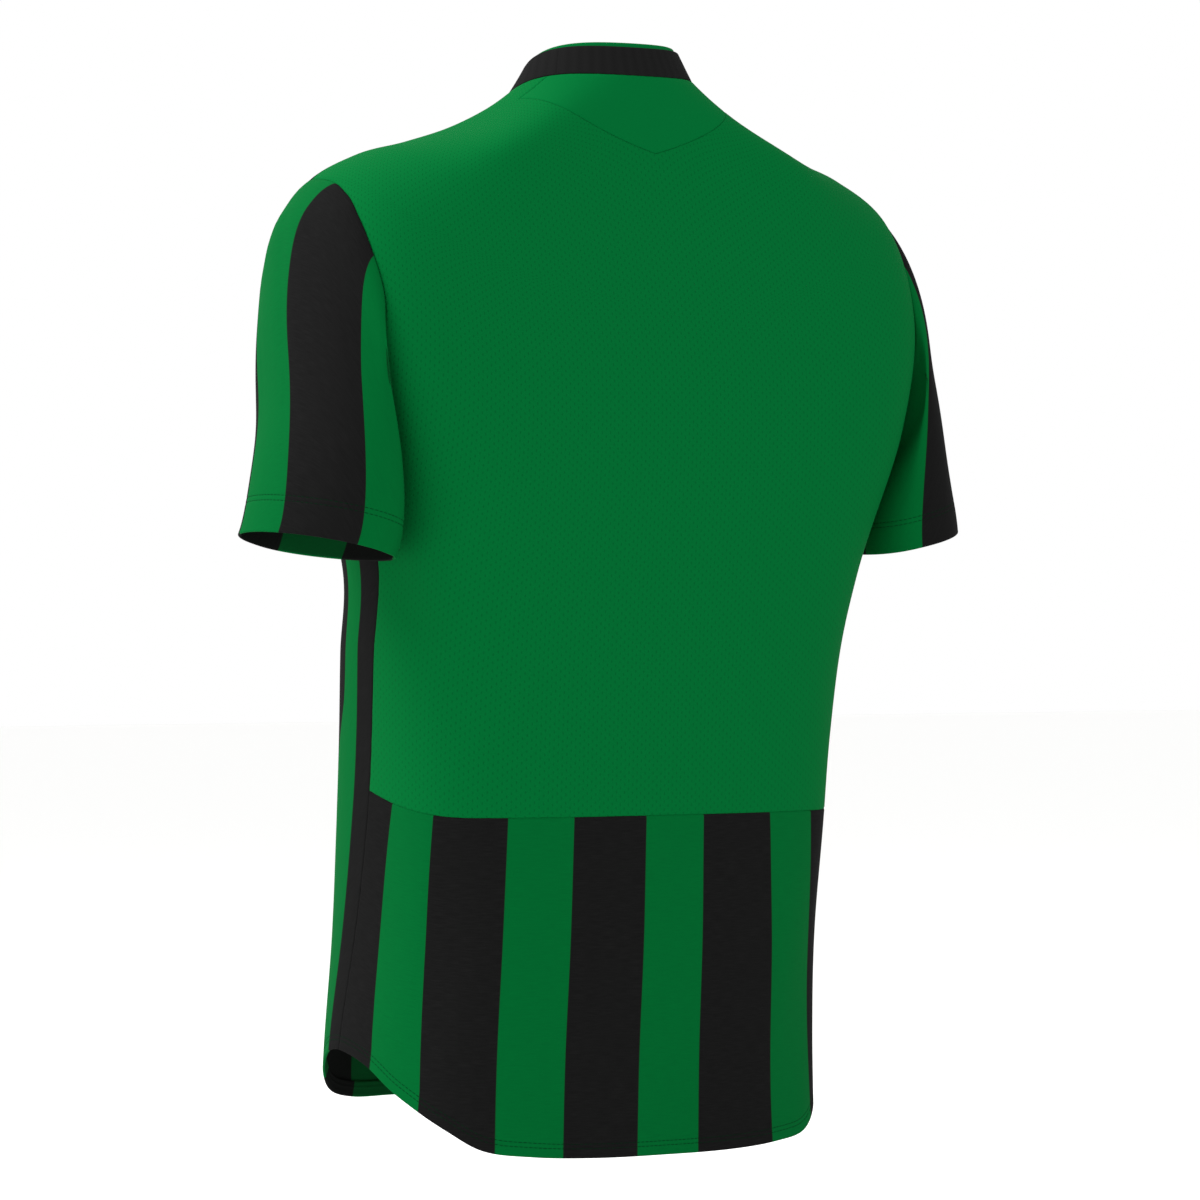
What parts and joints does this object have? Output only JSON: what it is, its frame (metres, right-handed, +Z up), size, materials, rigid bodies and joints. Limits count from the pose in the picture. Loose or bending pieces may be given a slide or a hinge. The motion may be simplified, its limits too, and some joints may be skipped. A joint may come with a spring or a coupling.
{
  "type": "football jersey",
  "caption": "Short-sleeved football jersey, worn and filled out, with vertical stripes, a plain back, a low stand-up collar and a dropped curved hem.",
  "frame": {"origin": "the middle of the neck opening, in line with the shoulders that carry the garment", "axes": "+Z up, +X towards the wearer's left, +Y towards the wearer's back, so the front faces -Y"},
  "size_m": [0.5624, 0.257, 0.7458],
  "materials": {
    "striped_interlock": "smooth interlock knit in black and green stripes",
    "green_eyelet": "green eyelet knit",
    "green_knit": "plain green knit",
    "black_rib": "matt black rib"
  },
  "bodies": {
    "root": {"front": "striped_interlock", "back_upper": "green_eyelet", "back_lower": "striped_interlock", "neck_yoke": "green_knit", "sleeve_left": "striped_interlock", "sleeve_right": "striped_interlock", "collar_outer": "black_rib", "collar_inner": "green_knit"}
  },
  "joints": []
}
